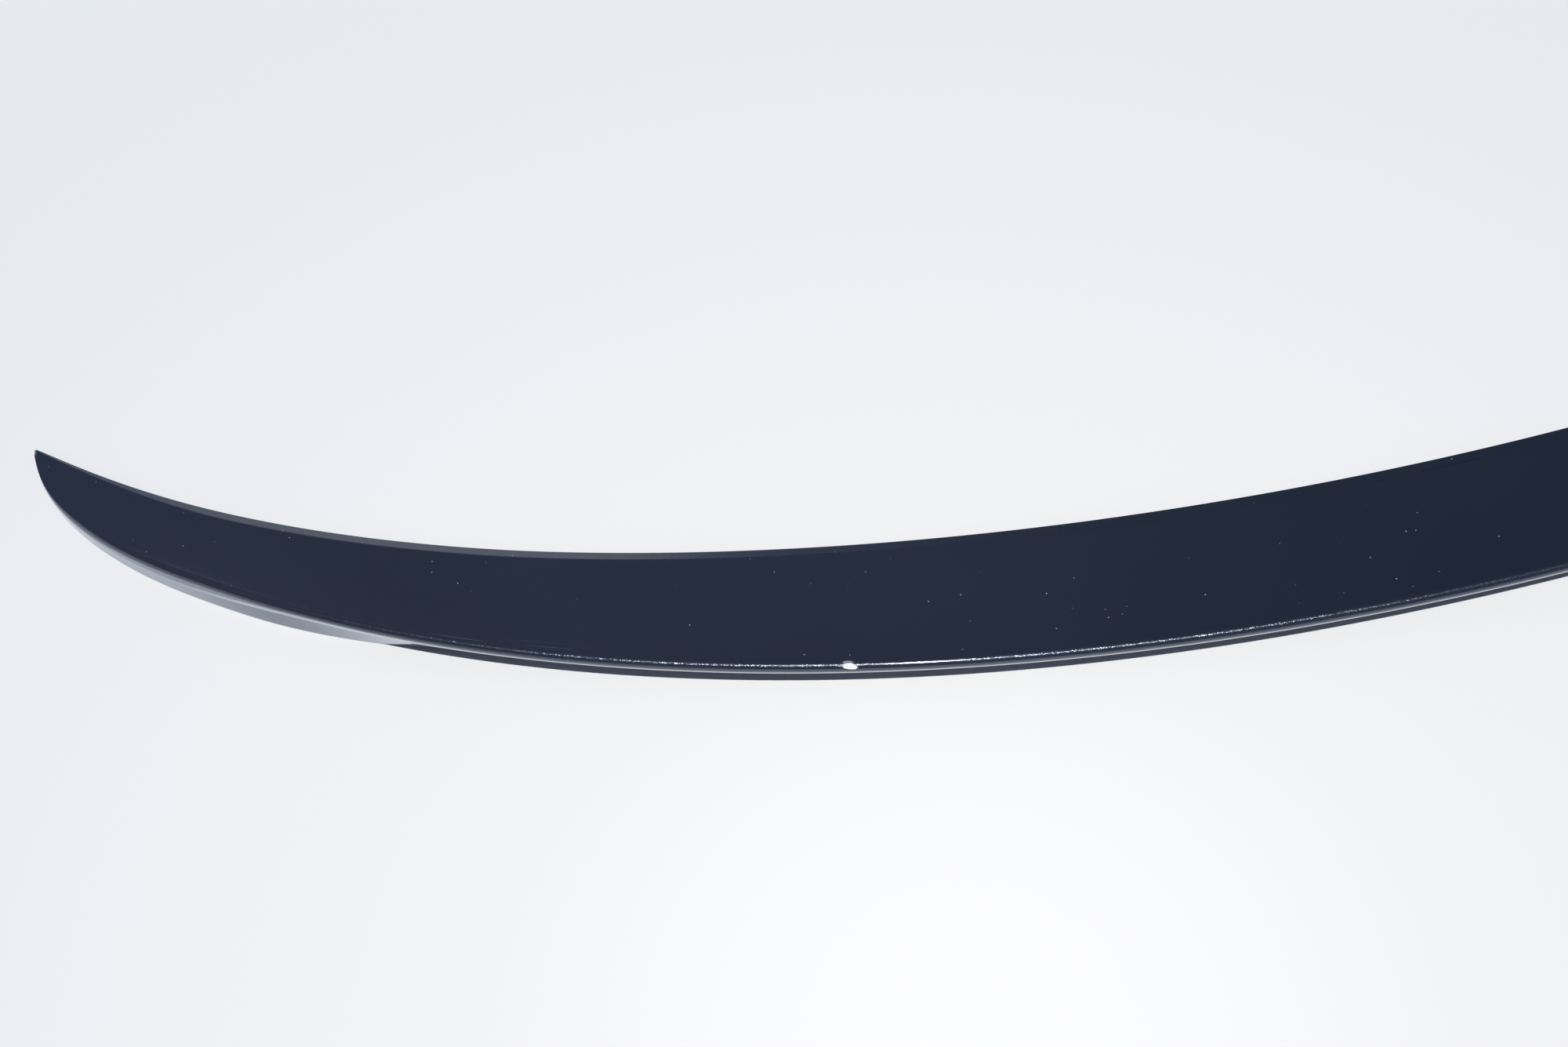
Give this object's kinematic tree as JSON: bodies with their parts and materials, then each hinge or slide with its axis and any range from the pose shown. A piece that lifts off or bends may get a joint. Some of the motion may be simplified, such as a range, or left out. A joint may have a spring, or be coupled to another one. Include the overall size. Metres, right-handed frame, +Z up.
{
  "type": "car rear spoiler",
  "caption": "Crescent-shaped lip spoiler for a car boot lid, moulded in one piece with an overhanging rear lip and bonded on.",
  "frame": {"origin": "under the middle of the bounding box, on the floor that the rear land lies on", "axes": "+X across the car, +Y to the front of the car, +Z up off the boot lid"},
  "size_m": [1.2, 0.2322, 0.0228],
  "materials": {
    "navy_paint": "dark navy metallic paint under clear coat"
  },
  "bodies": {
    "root": {"spoiler_moulding": "navy_paint"}
  },
  "joints": []
}
